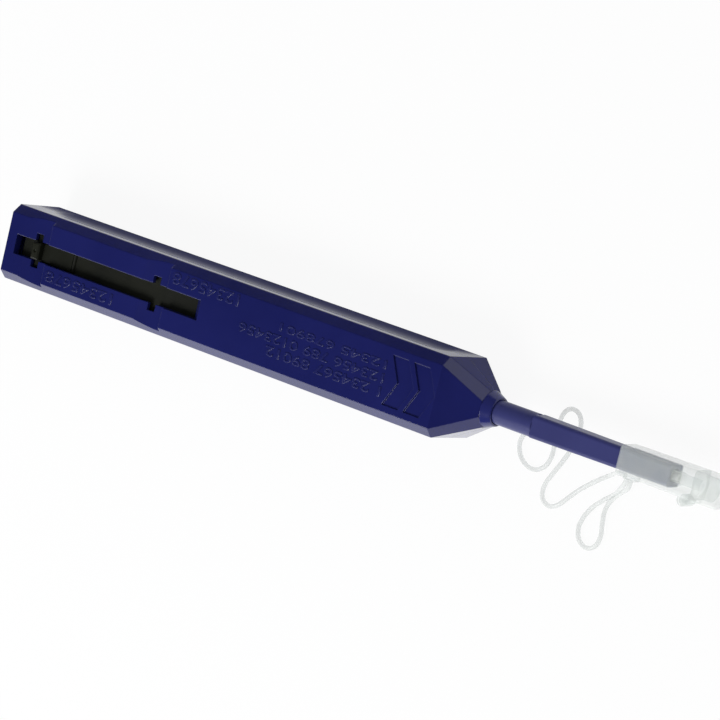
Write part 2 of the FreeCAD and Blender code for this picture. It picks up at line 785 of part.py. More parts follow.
def coil(x0, x1, radius, wire, turns):
    """A coil spring along the nozzle's axis between two stations, in short straight lengths of wire."""
    steps = turns * coil_steps
    rise = (x1 - x0 - 2 * corner_distance(wire / 2, coil_sides)) / steps
    sections = []
    for step in range(steps + 1):
        a = 2 * math.pi * step / coil_steps
        outward = V(0, math.cos(a), math.sin(a))
        centre = V(x0 + corner_distance(wire / 2, coil_sides) + rise * step, 0, axis_z) + outward * radius
        sections.append(polygon_round(centre, outward, V(1, 0, 0), wire / 2, coil_sides))
    return Part.makeLoft(sections, True, True)


def path_through(points, longest_cut):
    """Straight runs joined by tangent arcs, each as large as its two runs allow."""
    points = [V(*p) for p in points]
    edges, radii = [], []
    here = points[0]
    for before, corner, after in zip(points, points[1:], points[2:]):
        into, out = corner - before, after - corner
        turn = into.getAngle(out)
        cut = min(0.45 * min(into.Length, out.Length), longest_cut)
        start = corner - V(into).normalize() * cut
        end = corner + V(out).normalize() * cut
        radius = cut / math.tan(turn / 2)
        middle_way = (start + end) / 2 - corner
        middle = corner + V(middle_way).normalize() * (radius / math.cos(turn / 2) - radius)
        edges += [Part.makeLine(here, start), Part.Arc(start, middle, end).toShape()]
        radii.append(radius)
        here = end
    edges.append(Part.makeLine(here, points[-1]))
    return Part.Wire(edges), radii


def tube_along(points, diameter, sides, longest_cut=math.inf):
    """A cord of even thickness along a path, with its length and the radii of its bends."""
    path, radii = path_through(points, longest_cut)
    along = (V(*points[1]) - V(*points[0])).normalize()
    across = along.cross(V(0, 0, 1)).normalize()
    section = polygon_round(V(*points[0]), across, along.cross(across), diameter / 2, sides)
    tube = path.makePipeShell([section], True, False)
    return tube, path.Length, radii


def make_cleaning_strand():
    """The strand from the supply reel, out over the tip and back to the take-up reel."""
    z = axis_z
    over = tip_front + strand_radius + strand_tip_gap
    points = [
        (supply_station, supply_line_y, z), (strand_bend_station, supply_line_y, z),
        (strand_turn_station, strand_offset, z), (over, strand_offset, z), (over, -strand_offset, z),
        (strand_turn_station, -strand_offset, z), (strand_bend_station, takeup_line_y, z),
        (takeup_station, takeup_line_y, z)]
    return tube_along(points, 2 * strand_radius, strand_sides, strand_bend)[0]


def make_guide_cap():
    """The clear cap: a square socket for the nozzle, a ferrule bore, a boss for the lid and the hinge ears."""
    body = Part.makeLoft([
        rounded_square(cap_rear, cap_rear_width, cap_corner),
        rounded_square(cap_front, cap_front_width, cap_corner)], True, True)
    boss = along_x(boss_radius, cap_front - past, cap_front + boss_length)
    lug_y = -cap_rear_width / 2
    lug_z = axis_z - cap_rear_width / 2 + cap_lug_inset
    lug = block(cap_rear, cap_rear + cap_lug_length, lug_y - cap_lug_reach, lug_y + cap_lug_inset, lug_z,
                lug_z + cap_lug_height)
    middle = knuckle_height / 2
    ears = []
    for side in (1, -1):
        z0 = axis_z + side * (middle + hinge_gap)
        z1 = z0 + side * ear_height
        ears.append(rod(knuckle_radius, (hinge_station, -hinge_offset, min(z0, z1)),
                        (hinge_station, -hinge_offset, max(z0, z1))))
    cap = body.multiFuse([boss, lug] + ears)
    cap = cap.cut(rod(knuckle_radius + hinge_gap, (hinge_station, -hinge_offset, axis_z - middle - hinge_gap),
                      (hinge_station, -hinge_offset, axis_z + middle + hinge_gap)))
    pin = rod(hinge_pin_radius, (hinge_station, -hinge_offset, axis_z - middle - hinge_gap - overlap),
              (hinge_station, -hinge_offset, axis_z + middle + hinge_gap + overlap))
    cap = cap.fuse(pin)
    taper = (square_front_width - square_rear_width) / (sleeve_front - barrel_front)
    at_rear = square_rear_width + taper * (cap_rear - barrel_front) + 2 * cap_socket_gap
    at_end = square_front_width + 2 * cap_socket_gap
    socket = Part.makeLoft([
        rounded_square(cap_rear - past, at_rear - taper * past, square_corner),
        rounded_square(socket_end, at_end, square_corner)], True, True)
    bore = along_x(ferrule_bore_radius, socket_end, cap_front + boss_length + past)
    relief = along_x(ferrule_relief_radius, socket_end - overlap, socket_end + ferrule_relief_length)
    return cap.cut(socket).cut(bore).cut(relief).removeSplitter()


def make_cap_lid():
    """The flip lid: a hollow square plug end and the arm that turns on the cap's pin."""
    x0 = cap_front + lid_gap
    lid = Part.makeLoft([
        rounded_square(x0, cap_front_width, cap_corner),
        rounded_square(lid_front, cap_front_width - lid_draft, cap_corner)], True, True)
    lid = lid.makeFillet(lid_edge_radius, [e for e in lid.Edges if e.BoundBox.XMin > lid_front - 0.01])
    lid = lid.cut(along_x(lid_cavity_radius, x0 - past, x0 + lid_cavity_depth))
    middle = knuckle_height / 2
    eye = rod(knuckle_radius, (hinge_station, -hinge_offset, axis_z - middle),
              (hinge_station, -hinge_offset, axis_z + middle))
    beside = -cap_front_width / 2
    within = beside + lid_root_depth
    arm = plate([
        (hinge_station, -hinge_offset - knuckle_radius), (x0 + lid_root_length, beside - lid_arm_tip),
        (x0 + lid_root_length, within), (x0, within), (x0, beside - hinge_gap),
        (hinge_station, beside - hinge_gap)], axis_z - middle, axis_z + middle)
    lid = lid.multiFuse([eye, arm])
    hole = rod(hinge_pin_radius + hinge_gap / 2, (hinge_station, -hinge_offset, axis_z - middle - past),
               (hinge_station, -hinge_offset, axis_z + middle + past))
    return lid.cut(hole).removeSplitter()


def put_at_origin(shape):
    """Moves a piece from its station along the pen to the frame's origin at the middle of the base."""
    moved = shape.copy()
    moved.translate(V(-overall_length / 2, 0, 0))
    return moved


def main():
    os.makedirs("parts", exist_ok=True)
    slot_shell, back_shell = make_shells()
    tether_points = [(barrel_front + x, y, z) for x, y, z in tether_route]
    tail_points = [(cap_rear + x, y, z) for x, y, z in tail_route]
    tether_cord, tether_length, tether_radii = tube_along(tether_points, cord_diameter, cord_sides)
    tail_loop, tail_length, tail_radii = tube_along(tail_points, cord_diameter, cord_sides)
    pieces = {
        "slot_shell": slot_shell,
        "back_shell": back_shell,
        "nose_ring": make_nose_ring(),
        "carriage_frame": make_carriage_frame(),
        "carriage_cover": make_carriage_cover(),
        "latch_arm": make_latch_arm(),
        "supply_axle": make_axle(supply_station),
        "takeup_axle": make_axle(takeup_station),
        "supply_spool": make_supply_spool(),
        "takeup_spool": make_takeup_spool(),
        "supply_strand": make_winding(supply_station, supply_winding_radius),
        "takeup_strand": make_winding(takeup_station, takeup_winding_radius),
        "drag_washer": make_drag_washer(),
        "drive_gear": make_drive_gear(),
        "ratchet_pawl": make_ratchet_pawl(),
        "nozzle_slider": make_nozzle_slider(),
        "nozzle_sleeve": make_nozzle_sleeve(),
        "tip_shaft": make_tip_shaft(),
        "cleaning_tip": make_cleaning_tip(),
        "cleaning_strand": make_cleaning_strand(),
        "return_spring": coil(spring_seat, slider_start, return_spring_radius, return_spring_wire,
                              return_spring_turns),
        "tip_spring": coil(shaft_front, tip_rear, tip_spring_radius, tip_spring_wire, tip_spring_turns),
        "guide_cap": make_guide_cap(),
        "cap_lid": make_cap_lid(),
        "tether_cord": tether_cord,
        "tail_loop": tail_loop,
    }
    facets = 0
    for name, shape in pieces.items():
        placed = put_at_origin(shape)
        placed.exportStep(f"parts/{name}.step")
        facets += len(shape.tessellate(0.05)[1])
        print(name, "solids", len(shape.Solids), "valid", shape.isValid(), "volume", round(shape.Volume, 2),
              "triangles", len(shape.tessellate(0.05)[1]))
    print("triangles in all", facets)
    for name, tube, length, radii in (
            ("tether", tether_cord, tether_length, tether_radii), ("tail", tail_loop, tail_length, tail_radii)):
        section = math.pi * cord_diameter ** 2 / 4
        print(name, "length", round(length, 1), "volume by section", round(section * length, 2), "solid",
              round(tube.Volume, 2), "radii", [round(r, 1) for r in radii])


main()
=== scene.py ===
# %% [markdown]
# # Dressing the cleaning pen
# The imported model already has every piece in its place. This lesson gives each one its looks:
# moulded blue barrel, black slide, cloudy clear cap and a clear line that runs in loops on the
# table. Everything is in metres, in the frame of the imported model: x runs along the pen to the
# nozzle, y across it and z up from the table.

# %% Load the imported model
import json
import math
import bmesh
import bpy
from mathutils import Matrix, Vector


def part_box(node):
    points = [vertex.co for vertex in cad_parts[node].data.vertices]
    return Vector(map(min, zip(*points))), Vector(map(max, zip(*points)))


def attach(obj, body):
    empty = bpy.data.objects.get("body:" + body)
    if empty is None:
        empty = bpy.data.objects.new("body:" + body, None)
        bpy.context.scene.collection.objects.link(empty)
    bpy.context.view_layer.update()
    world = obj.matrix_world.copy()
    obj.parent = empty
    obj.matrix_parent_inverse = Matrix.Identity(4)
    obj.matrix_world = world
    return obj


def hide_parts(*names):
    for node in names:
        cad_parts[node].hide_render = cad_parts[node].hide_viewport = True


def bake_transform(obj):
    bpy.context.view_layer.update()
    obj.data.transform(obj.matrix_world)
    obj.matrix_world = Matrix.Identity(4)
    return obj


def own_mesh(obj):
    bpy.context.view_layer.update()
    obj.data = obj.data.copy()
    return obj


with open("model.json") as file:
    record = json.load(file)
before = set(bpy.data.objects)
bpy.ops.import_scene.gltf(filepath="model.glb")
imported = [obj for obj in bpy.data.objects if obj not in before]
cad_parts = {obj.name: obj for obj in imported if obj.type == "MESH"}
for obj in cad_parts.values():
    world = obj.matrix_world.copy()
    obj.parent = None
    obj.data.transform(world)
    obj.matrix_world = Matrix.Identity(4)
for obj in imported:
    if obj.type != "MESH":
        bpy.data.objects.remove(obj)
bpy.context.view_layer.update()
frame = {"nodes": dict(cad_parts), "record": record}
MM = 0.001

# %% [markdown]
# ## Places on the pen
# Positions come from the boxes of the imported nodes, so that a longer barrel or a wider cap would
# carry its dressing along. The nozzle's axis runs at half the height of the face, and its round
# part ends at a step.

# %% Read the main places
shell_low, shell_high = [Vector(c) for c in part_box("slot_shell")]
ring_high = Vector(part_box("nose_ring")[1])
face_z = shell_high.z
axis_z = face_z / 2
nozzle_step_x = ring_high.x + 10.7 * MM
nose_start_x = ring_high.x - 13.0 * MM
cap_rear_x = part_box("guide_cap")[0][0]
print("face", round(face_z / MM, 2), "axis", round(axis_z / MM, 2))
print("step", round(nozzle_step_x / MM, 2), "nose", round(nose_start_x / MM, 2))

# %% [markdown]
# ## The camera
# A long lens from above the cap's side shows the slotted face nearly square on and the barrel's
# far end small. The camera is turned about its own line of sight until the pen runs from upper
# left to lower right.

# %% Place the camera
camera_spot = Vector((433.95, 112.08, 593.95)) * MM
camera_target = Vector((2.824, 0.339, 9.2)) * MM
camera_roll = math.radians(-88.053)
lens_length = 159.08

camera_data = bpy.data.cameras.new("camera")
camera_data.lens = lens_length
camera_data.sensor_width = 36.0
camera_data.clip_start = 0.01
camera = bpy.data.objects.new("camera", camera_data)
bpy.context.collection.objects.link(camera)
sight = camera_target - camera_spot
turn = sight.to_track_quat("-Z", "Y").to_matrix() @ Matrix.Rotation(camera_roll, 3, "Z")
camera.matrix_world = Matrix.Translation(camera_spot) @ turn.to_4x4()
bpy.context.scene.camera = camera
print("distance", round(sight.length, 3), "m")

# %% [markdown]
# ## Small helpers for materials
# A moulded surface is never one flat colour. Each material below starts from the same few nodes:
# a place on the piece, a noise that clouds the colour a little, and a finer noise that lifts the
# surface by microns. Values that are even all over the piece stay on the shader's own sockets.

# %% Define the material helpers
def node_of(tree, kind, **values):
    """Adds a shader node and sets its inputs by name."""
    node = tree.nodes.new(kind)
    for name, value in values.items():
        node.inputs[name.replace("_", " ")].default_value = value
    return node


def start_material(name, **values):
    """A new material, its node tree and its shader, with even values set on the shader."""
    material = bpy.data.materials.new(name)
    material.use_nodes = True
    shader = material.node_tree.nodes["Principled BSDF"]
    for key, value in values.items():
        shader.inputs[key.replace("_", " ")].default_value = value
    return material, material.node_tree, shader


def clouded_colour(tree, shader, dark, light, scale, detail=3.0):
    """Lets the colour drift between two shades over the piece."""
    place = node_of(tree, "ShaderNodeTexCoord")
    noise = node_of(tree, "ShaderNodeTexNoise", Scale=scale, Detail=detail, Roughness=0.55)
    ramp = tree.nodes.new("ShaderNodeValToRGB")
    ramp.color_ramp.elements[0].position = 0.35
    ramp.color_ramp.elements[0].color = (*dark, 1.0)
    ramp.color_ramp.elements[1].position = 0.65
    ramp.color_ramp.elements[1].color = (*light, 1.0)
    tree.links.new(place.outputs["Object"], noise.inputs["Vector"])
    tree.links.new(noise.outputs["Fac"], ramp.inputs["Fac"])
    tree.links.new(ramp.outputs["Color"], shader.inputs["Base Color"])
    return place


def number_node(tree, kind, values, operation=None):
    """Adds a node that works on numbers, fed by sockets or plain values, and gives its result."""
    node = tree.nodes.new(kind)
    if operation:
        node.operation = operation
    for slot, value in zip(node.inputs, values):
        if isinstance(value, bpy.types.NodeSocket):
            tree.links.new(value, slot)
        else:
            slot.default_value = value
    return node.outputs[0]


def calculate(tree, operation, *values):
    """One step of arithmetic."""
    return number_node(tree, "ShaderNodeMath", values, operation)


def remap(tree, value, from_low, from_high, to_low, to_high):
    """Carries a value from one range to another, and stops at the ends."""
    return number_node(tree, "ShaderNodeMapRange", (value, from_low, from_high, to_low, to_high))


def place_along_axes(tree):
    """The place on the piece as its x, y and z."""
    split = tree.nodes.new("ShaderNodeSeparateXYZ")
    tree.links.new(node_of(tree, "ShaderNodeTexCoord").outputs["Object"], split.inputs[0])
    return split.outputs


def worn_gloss(tree, shader, place, low, high, scale):
    """Lets the roughness vary, as where fingers polish a surface."""
    noise = node_of(tree, "ShaderNodeTexNoise", Scale=scale, Detail=4.0)
    tree.links.new(place.outputs["Object"], noise.inputs["Vector"])
    roughness = remap(tree, noise.outputs["Fac"], 0.0, 1.0, low, high)
    tree.links.new(roughness, shader.inputs["Roughness"])


def fine_grain(tree, shader, place, scale, height, strength=0.3, edge=0.0):
    """Lifts the surface by a fine noise, as a mould does, and rounds its edges to the light."""
    noise = node_of(tree, "ShaderNodeTexNoise", Scale=scale, Detail=2.0)
    bump = node_of(tree, "ShaderNodeBump", Strength=strength, Distance=height)
    if edge:
        rounded = node_of(tree, "ShaderNodeBevel", Radius=edge)
        rounded.samples = 6
        tree.links.new(rounded.outputs["Normal"], bump.inputs["Normal"])
    tree.links.new(place.outputs["Object"], noise.inputs["Vector"])
    tree.links.new(noise.outputs["Fac"], bump.inputs["Height"])
    tree.links.new(bump.outputs["Normal"], shader.inputs["Normal"])


print("material helpers ready")

# %% [markdown]
# ## Blue moulded plastic
# The barrel is glossy dark blue, so most of what the eye reads on it is reflection: near white at
# a flat angle, deep blue face on. A low base colour under a smooth shader does this by itself,
# and a faint grain keeps large faces from looking like glass. The two long sides, where the
# fingers hold, are satin at the foot and get glossier towards the head. The nozzle is duller and
# a little paler, and the collar lies between the two.

# %% Make the blue plastics
def blue_plastic(name, shades, low, high, edge, shine=0.5):
    """Moulded blue between two shades, with its range of roughness and the round of its edges."""
    material, tree, shader = start_material(name, IOR=1.5, Specular_IOR_Level=shine)
    place = clouded_colour(tree, shader, *shades, scale=45.0)
    worn_gloss(tree, shader, place, low, high, scale=160.0)
    fine_grain(tree, shader, place, scale=2600.0, height=0.00002, edge=edge)
    return material


def dull_sides(material, depth, half_height, foot_roughness, head_roughness):
    """Lets the two long sides go from satin at the foot to glossy at the head."""
    tree = material.node_tree
    roughness = tree.nodes["Principled BSDF"].inputs["Roughness"]
    x, y, z = place_along_axes(tree)
    outer = calculate(tree, "GREATER_THAN", calculate(tree, "ABSOLUTE", y), shell_high.y - depth)
    upright = calculate(tree, "COMPARE", z, axis_z, half_height)
    before_nose = remap(tree, x, nose_start_x, nose_start_x - 6.0 * MM, 0.0, 1.0)
    side = calculate(tree, "MULTIPLY", calculate(tree, "MULTIPLY", outer, upright), before_nose)
    satin = remap(tree, z, axis_z - 5.5 * MM, axis_z + 2.0 * MM, foot_roughness, head_roughness)
    polished = roughness.links[0].from_socket
    tree.links.new(remap(tree, side, 0.0, 1.0, polished, satin), roughness)


def dull_flank(material, slope_x, slope_y, offset, shine):
    """Lowers the shine of the nose's far flank, which is all that lies beyond a slanted plane."""
    tree = material.node_tree
    specular = tree.nodes["Principled BSDF"].inputs["Specular IOR Level"]
    x, y, _ = place_along_axes(tree)
    along = calculate(tree, "MULTIPLY", x, slope_x)
    across = calculate(tree, "MULTIPLY", y, slope_y)
    reach = calculate(tree, "ADD", along, across)
    beyond = calculate(tree, "GREATER_THAN", reach, offset)
    nose = calculate(tree, "GREATER_THAN", x, nose_start_x)
    flank = calculate(tree, "MULTIPLY", beyond, nose)
    tree.links.new(remap(tree, flank, 0.0, 1.0, specular.default_value, shine), specular)


deep_blue = (0.0085, 0.0112, 0.096), (0.0110, 0.0140, 0.112)
ring_blue = (0.0150, 0.0190, 0.125), (0.0190, 0.0230, 0.145)
tube_blue = (0.033, 0.036, 0.142), (0.041, 0.045, 0.166)
barrel_blue = blue_plastic("barrel_blue", deep_blue, 0.12, 0.20, edge=0.3 * MM)
figure_blue = blue_plastic("figure_blue", deep_blue, 0.22, 0.30, edge=0.1 * MM)
collar_blue = blue_plastic("collar_blue", ring_blue, 0.16, 0.24, edge=0.2 * MM)
nozzle_blue = blue_plastic("nozzle_blue", tube_blue, 0.28, 0.36, edge=0.2 * MM, shine=0.2)
dull_sides(barrel_blue, depth=0.8 * MM, half_height=6.95 * MM,
           foot_roughness=0.9, head_roughness=0.12)
dull_flank(barrel_blue, slope_x=0.488, slope_y=0.873, offset=23.96 * MM, shine=0.08)
print("blue plastics", barrel_blue.name, figure_blue.name, collar_blue.name, nozzle_blue.name)

# %% [markdown]
# ## Black plastic
# The slide button and the carriage under the slot are moulded in a tough black with a slight
# olive cast and a satin finish, duller than the barrel.

# %% Make the black plastics
def black_plastic(name, low, high, grain, edge):
    """Satin black with an olive cast, with its roughness, its grain and the round of its edges."""
    material, tree, shader = start_material(name, IOR=1.48, Specular_IOR_Level=0.25)
    place = clouded_colour(tree, shader, (0.008, 0.009, 0.006), (0.013, 0.014, 0.009), scale=90.0)
    worn_gloss(tree, shader, place, low, high, scale=240.0)
    fine_grain(tree, shader, place, scale=1800.0, height=grain, edge=edge)
    return material


button_black = black_plastic("button_black", 0.36, 0.48, grain=0.00003, edge=0.12 * MM)
carriage_black = black_plastic("carriage_black", 0.44, 0.56, grain=0.00004, edge=0.15 * MM)
print("black plastics", button_black.name, carriage_black.name)

# %% [markdown]
# ## Clear plastics
# The cap is cloudy polypropylene. Light goes straight through part of it and is scattered white
# by the rest, which a partly see-through white surface shows well: each wall adds its own haze
# over what lies behind. The line is clearer and a little greyer, so that it still stands out from
# the table.

# %% Make the clear plastics
def cloudy_plastic(name, dark, light, see_through):
    """White plastic of which an even share is see-through."""
    material, tree, shader = start_material(name, Roughness=0.2, IOR=1.45, Alpha=1.0 - see_through)
    place = clouded_colour(tree, shader, dark, light, scale=260.0)
    fine_grain(tree, shader, place, scale=900.0, height=0.00003, strength=0.2)
    return material


cap_clear = cloudy_plastic("cap_clear", (0.81, 0.86, 0.84), (0.89, 0.93, 0.88), 0.72)
line_clear = cloudy_plastic("line_clear", (0.62, 0.66, 0.63), (0.74, 0.78, 0.75), 0.74)
print("clear plastics", cap_clear.name, line_clear.name)

# %% [markdown]
# ## Metals, white plastic and strand
# Inside are steel springs and axles, white slippery gears and reels, and the fine woven strand
# that does the cleaning. The strand's bands run round the reel, so its pattern follows the height
# of the winding.

# %% Make the inner materials
def spring_steel():
    """Drawn steel, slightly uneven in colour and gloss."""
    material, tree, shader = start_material("spring_steel", Metallic=1.0)
    place = clouded_colour(tree, shader, (0.42, 0.42, 0.43), (0.55, 0.55, 0.56), scale=400.0)
    worn_gloss(tree, shader, place, 0.22, 0.36, scale=900.0)
    fine_grain(tree, shader, place, scale=4000.0, height=0.00001)
    return material


def white_acetal():
    """Off-white slippery plastic."""
    material, tree, shader = start_material("white_acetal", IOR=1.48)
    place = clouded_colour(tree, shader, (0.70, 0.70, 0.67), (0.78, 0.78, 0.75), scale=180.0)
    worn_gloss(tree, shader, place, 0.32, 0.42, scale=500.0)
    fine_grain(tree, shader, place, scale=2400.0, height=0.00002)
    return material


def woven_strand():
    """White strand with a band for each turn of its winding."""
    material, tree, shader = start_material("woven_strand", Roughness=0.85)
    place = clouded_colour(tree, shader, (0.62, 0.62, 0.60), (0.82, 0.82, 0.80), scale=2200.0)
    bands = node_of(tree, "ShaderNodeTexWave", Scale=530.0, Distortion=0.6)
    bands.bands_direction = "Z"
    bump = node_of(tree, "ShaderNodeBump", Strength=0.8, Distance=0.0001)
    tree.links.new(place.outputs["Object"], bands.inputs["Vector"])
    tree.links.new(bands.outputs["Fac"], bump.inputs["Height"])
    tree.links.new(bump.outputs["Normal"], shader.inputs["Normal"])
    return material


steel, acetal, strand_white = spring_steel(), white_acetal(), woven_strand()
print("inner materials", steel.name, acetal.name, strand_white.name)

# %% [markdown]
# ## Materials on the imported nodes
# A node whose shape is right keeps its mesh and only gets its finish. Each list below is one
# finish.

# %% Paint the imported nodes
finishes = [
    (barrel_blue, ["slot_shell", "back_shell"]),
    (collar_blue, ["nose_ring"]),
    (nozzle_blue, ["nozzle_sleeve"]),
    (button_black, ["latch_arm"]),
    (carriage_black, ["carriage_frame", "carriage_cover", "ratchet_pawl", "nozzle_slider"]),
    (cap_clear, ["guide_cap", "cap_lid"]),
    (line_clear, ["tether_cord", "tail_loop"]),
    (acetal, ["supply_spool", "takeup_spool", "drive_gear", "tip_shaft", "cleaning_tip"]),
    (steel, ["supply_axle", "takeup_axle", "drag_washer", "return_spring", "tip_spring"]),
    (strand_white, ["supply_strand", "takeup_strand", "cleaning_strand"]),
]


def paint(item, material):
    """Puts one material on all of an object."""
    item.data.materials.clear()
    item.data.materials.append(material)


for material, names in finishes:
    for name in names:
        paint(frame["nodes"][name], material)
print("painted", sum(len(names) for _, names in finishes), "nodes")

# %% [markdown]
# ## The clear line
# The line leaves a lug under the nozzle, drops to the table, runs in three loose loops and climbs
# to the cap's lug. Its points are listed in millimetres from the nozzle's step. A second
# stretch comes out of the same lug, makes a loop on the table and goes back in. Its points start
# from the cap's rear end.

# %% Write down the two routes
rest = 0.62
tether_route = [
    (0.8, 0.0, 5.72), (-0.5, 0.0, 5.72), (-2.0, -0.2, 4.7), (-3.6, -0.6, 3.1),
    (-5.2, -1.3, 1.7), (-7.0, -2.4, 0.85), (-8.6, -4.2, rest), (-9.3, -6.6, rest),
    (-8.3, -9.3, rest), (-6.0, -11.1, rest), (-3.2, -11.4, rest), (-0.6, -9.6, rest),
    (0.3, -6.2, rest), (-0.2, -2.6, rest), (-0.1, 0.7, rest), (0.2, 3.2, rest),
    (1.7, 4.8, rest), (3.9, 4.7, rest), (5.4, 3.0, rest), (5.7, 0.4, rest),
    (5.1, -2.8, rest), (3.7, -6.2, rest), (2.1, -9.4, rest), (0.5, -12.4, rest),
    (-0.2, -14.9, rest), (0.5, -17.2, rest), (2.7, -18.1, rest), (4.9, -17.0, rest),
    (6.9, -14.6, rest), (9.4, -11.8, rest), (12.6, -9.0, rest), (15.8, -6.8, 1.3),
    (18.4, -5.4, 3.0), (20.5, -4.4, 5.3), (22.5, -3.9, 7.4), (24.2, -3.9, 7.4)]
tail_route = [
    (0.4, -4.5, 7.4), (0.2, -5.9, 7.4), (-1.6, -7.4, 5.8), (-3.2, -8.7, 3.8),
    (-5.1, -10.2, 2.2), (-7.5, -12.0, 1.8), (-9.9, -14.0, 0.95), (-11.9, -16.7, rest),
    (-12.9, -19.8, rest), (-12.1, -22.6, rest), (-9.8, -24.0, rest), (-7.3, -23.0, rest),
    (-6.4, -20.4, rest), (-7.0, -17.4, rest), (-7.3, -14.4, rest), (-6.3, -11.7, 0.8),
    (-3.9, -9.6, 2.1), (-1.7, -8.2, 4.1), (0.2, -7.2, 6.0), (1.5, -6.0, 7.4),
    (1.5, -4.5, 7.4)]
tether_points = [Vector((nozzle_step_x + x * MM, y * MM, z * MM)) for x, y, z in tether_route]
tail_points = [Vector((cap_rear_x + x * MM, y * MM, z * MM)) for x, y, z in tail_route]
print("route points", len(tether_points), len(tail_points))

# %% [markdown]
# ## A tube along a route
# The real line is extruded, so it is round and has one thickness all along. A curve does the
# same: it is pulled towards the route's points, gets a round section and becomes a mesh. The
# points along its middle are kept, and the line's length is measured from them.

# %% Draw a route as one smooth curve
line_diameter = 1.1 * MM


def smooth_curve(name, points):
    """One open curve that is pulled towards its points and starts and ends on them."""
    data = bpy.data.curves.new(name, "CURVE")
    data.dimensions = "3D"
    data.resolution_u = 8
    spline = data.splines.new("NURBS")
    spline.points.add(len(points) - 1)
    for slot, point in zip(spline.points, points):
        slot.co = (*point, 1.0)
    spline.order_u = 3
    spline.use_endpoint_u = True
    item = bpy.data.objects.new(name, data)
    bpy.context.collection.objects.link(item)
    return item


def as_mesh(item):
    """The evaluated object as a plain mesh."""
    bpy.context.view_layer.update()
    evaluated = item.evaluated_get(bpy.context.evaluated_depsgraph_get())
    return bpy.data.meshes.new_from_object(evaluated)


def line_tube(name, points):
    """A round tube along a route, with the points that its middle follows."""
    item = smooth_curve(name, points)
    middle = [v.co.copy() for v in as_mesh(item).vertices]
    item.data.bevel_depth = line_diameter / 2
    item.data.bevel_resolution = 5
    item.data.use_fill_caps = True
    mesh = as_mesh(item)
    bpy.data.objects.remove(item)
    tube = bpy.data.objects.new(name, mesh)
    bpy.context.collection.objects.link(tube)
    for face in mesh.polygons:
        face.use_smooth = len(face.vertices) == 4
    paint(tube, line_clear)
    length = sum((b - a).length for a, b in zip(middle, middle[1:]))
    print(name, "length", round(length / MM, 1), "mm")
    return tube, middle, length


tether, tether_middle, tether_length = line_tube("tether_line", tether_points)
tail, tail_middle, tail_length = line_tube("tail_line", tail_points)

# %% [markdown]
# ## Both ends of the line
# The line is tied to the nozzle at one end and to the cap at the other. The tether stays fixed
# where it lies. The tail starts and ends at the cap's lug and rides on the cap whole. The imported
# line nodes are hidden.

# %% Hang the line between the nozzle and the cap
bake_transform(tether)
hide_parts("tether_cord")
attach(tail, "cap")
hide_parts("tail_loop")
print("line in place")

# %% [markdown]
# ## Smooth copies of the moulded pieces
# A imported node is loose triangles. A copy with its corners joined can be shaded as one skin:
# smooth over its rounds, crisp at its corners, and flat where it is flat, because a large face
# outweighs the small ones beside it. The blue and black finishes round those corners to the light
# by themselves. The cap's finish doesn't, so its corners get a real bevel.

# %% Define the smooth copy
weld_distance = 0.002 * MM
corner_angle = math.radians(28.0)
flat_angle = math.radians(0.05)


def smooth_copy(node, name, material, bevel=0.0):
    """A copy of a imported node, shaded as one skin, which stands for the node."""
    mesh = bpy.data.meshes.new(name)
    work = bmesh.new()
    work.from_mesh(frame["nodes"][node].data)
    bmesh.ops.remove_doubles(work, verts=work.verts, dist=weld_distance)
    bmesh.ops.dissolve_limit(work, angle_limit=flat_angle, verts=work.verts, edges=work.edges)
    for face in work.faces:
        face.smooth = True
    for edge in work.edges:
        edge.smooth = bevel > 0 or edge.calc_face_angle(math.pi) < corner_angle
    work.to_mesh(mesh)
    work.free()
    item = bpy.data.objects.new(name, mesh)
    bpy.context.collection.objects.link(item)
    if bevel:
        rounding = item.modifiers.new("soft edges", "BEVEL")
        rounding.width = bevel
        rounding.segments = 2
        rounding.limit_method = "ANGLE"
        rounding.angle_limit = corner_angle
        rounding.use_clamp_overlap = False
    flatten = item.modifiers.new("flat faces", "WEIGHTED_NORMAL")
    flatten.mode = "FACE_AREA"
    flatten.weight = 100
    flatten.keep_sharp = not bevel
    finished = as_mesh(item)
    item.modifiers.clear()
    item.data = finished
    paint(item, material)
    body = next(b for b, nodes in frame["record"]["behaviour"]["bodies"].items() if node in nodes)
    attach(item, body)
    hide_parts(node)
    print(name, "faces", len(finished.polygons))
    return item


smooth_copy("slot_shell", "slot_half", barrel_blue)
smooth_copy("back_shell", "back_half", barrel_blue)
smooth_copy("nose_ring", "nose_collar", collar_blue)
smooth_copy("latch_arm", "slide_button", button_black)
smooth_copy("nozzle_sleeve", "nozzle_tube", nozzle_blue)
smooth_copy("carriage_cover", "carriage_lid", carriage_black)
smooth_copy("guide_cap", "clear_cap", cap_clear, bevel=0.10 * MM)
smooth_copy("cap_lid", "clear_lid", cap_clear, bevel=0.10 * MM)

# %% [markdown]
# ## Springs and windings from one tree
# A coil spring and a wound strand are the same thing: a round section that follows a spiral. One
# node tree makes both, with inputs for the turns, the radius, the thickness and the length. A
# winding also gets a plain core, so that it is solid under its one visible layer.

# %% Build the coil tree
steps_per_turn = 28.0
section_sides = 10
core_sides = 48


